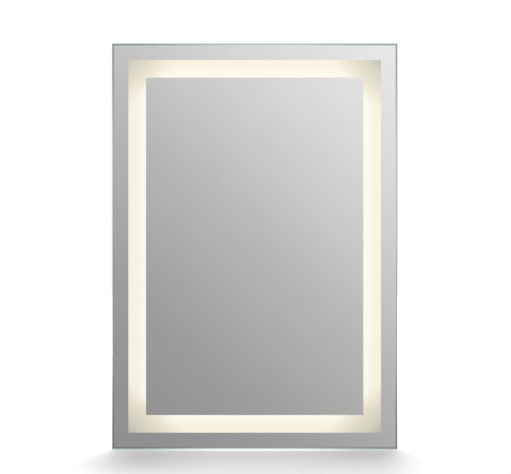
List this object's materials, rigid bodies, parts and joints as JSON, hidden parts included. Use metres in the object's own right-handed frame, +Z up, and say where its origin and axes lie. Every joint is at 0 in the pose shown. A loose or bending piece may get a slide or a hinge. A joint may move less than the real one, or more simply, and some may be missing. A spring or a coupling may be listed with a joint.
{
  "type": "lighted bathroom mirror",
  "caption": "Rectangular lighted wall mirror with a frosted lit band near its edge, aluminium rear frame, steel back, wall cleat and hinged wiring cover.",
  "frame": {"origin": "centre of the wall rail's screw row, on the wall plane", "axes": "+X to the right seen from the front, +Y into the wall (the mirror faces -Y), +Z up"},
  "size_m": [0.708, 0.0445, 1.0065],
  "materials": {
    "float_glass": "polished",
    "silver_mirror": "mirror",
    "frosted_film": "frosted",
    "anodised_aluminium": "satin anodised",
    "white_powder_coat": "fine powder coat",
    "zinc_steel": "zinc plated",
    "black_rubber": "matte",
    "black_plastic": "moulded",
    "white_plastic": "moulded",
    "grey_plastic": "moulded",
    "orange_plastic": "moulded",
    "white_board": "solder mask",
    "green_board": "solder mask",
    "board_parts": "moulded",
    "led_phosphor": "phosphor",
    "white_liner": "matte sheet",
    "foam_tape": "foam",
    "black_insulation": "satin",
    "white_insulation": "satin",
    "green_insulation": "satin",
    "tinned_copper": "tinned"
  },
  "bodies": {
    "wall": {"wall_rail": "zinc_steel"},
    "mirror": {"back_panel": "white_powder_coat", "board_jumpers": "white_insulation", "board_plugs": "white_plastic", "box_rivets": "zinc_steel", "carrier_rivets": "zinc_steel", "carrier_tape": "foam_tape", "corner_key_screws": "zinc_steel", "corner_keys": "zinc_steel", "driver_base": "white_plastic", "driver_board": "green_board", "driver_lid": "white_plastic", "driver_parts": "board_parts", "driver_screws": "zinc_steel", "earth_lead": "green_insulation", "earth_lug": "tinned_copper", "earth_screw": "zinc_steel", "frame_bottom": "anodised_aluminium", "frame_left": "anodised_aluminium", "frame_right": "anodised_aluminium", "frame_tape": "foam_tape", "frame_top": "anodised_aluminium", "frosted_band": "frosted_film", "grommets": "black_rubber", "hanger_rail": "zinc_steel", "hanger_rivets": "zinc_steel", "hinge_leaf": "zinc_steel", "hinge_pin": "zinc_steel", "hinge_rivets": "zinc_steel", "led_leads": "black_insulation", "light_board_bottom": "white_board", "light_board_left": "white_board", "light_board_right": "white_board", "light_board_top": "white_board", "light_carrier_bottom": "anodised_aluminium", "light_carrier_left": "anodised_aluminium", "light_carrier_right": "anodised_aluminium", "light_carrier_top": "anodised_aluminium", "light_chips": "led_phosphor", "live_lead": "black_insulation", "mirror_glass": "float_glass", "neutral_lead": "white_insulation", "panel_screws": "zinc_steel", "reflector_liners": "white_liner", "silver_border": "silver_mirror", "silver_centre": "silver_mirror", "terminals": "grey_plastic", "wall_bumpers": "black_rubber", "wire_clips": "white_plastic", "wiring_box": "zinc_steel"},
    "cover": {"wiring_cover": "white_powder_coat", "cover_screw": "zinc_steel", "supply_bushing": "black_plastic"},
    "earth_lever": {"lever_earth": "orange_plastic"},
    "neutral_lever": {"lever_neutral": "orange_plastic"},
    "live_lever": {"lever_live": "orange_plastic"}
  },
  "joints": [
    {"name": "mirror_lift", "type": "slide", "parent": "wall", "child": "mirror", "axis": [0, 0, 1], "range_m": [0, 0.02]},
    {"name": "cover_hinge", "type": "hinge", "parent": "mirror", "child": "cover", "pos_m": [0, -0.0072, -0.076], "axis": [1, 0, 0], "range_deg": [0, 110]},
    {"name": "earth_lever_pivot", "type": "hinge", "parent": "mirror", "child": "earth_lever", "pos_m": [-0.028, -0.0236, -0.1095], "axis": [1, 0, 0], "range_deg": [0, 90]},
    {"name": "neutral_lever_pivot", "type": "hinge", "parent": "mirror", "child": "neutral_lever", "pos_m": [0, -0.0236, -0.1095], "axis": [1, 0, 0], "range_deg": [0, 90]},
    {"name": "live_lever_pivot", "type": "hinge", "parent": "mirror", "child": "live_lever", "pos_m": [0.028, -0.0236, -0.1095], "axis": [1, 0, 0], "range_deg": [0, 90]}
  ]
}
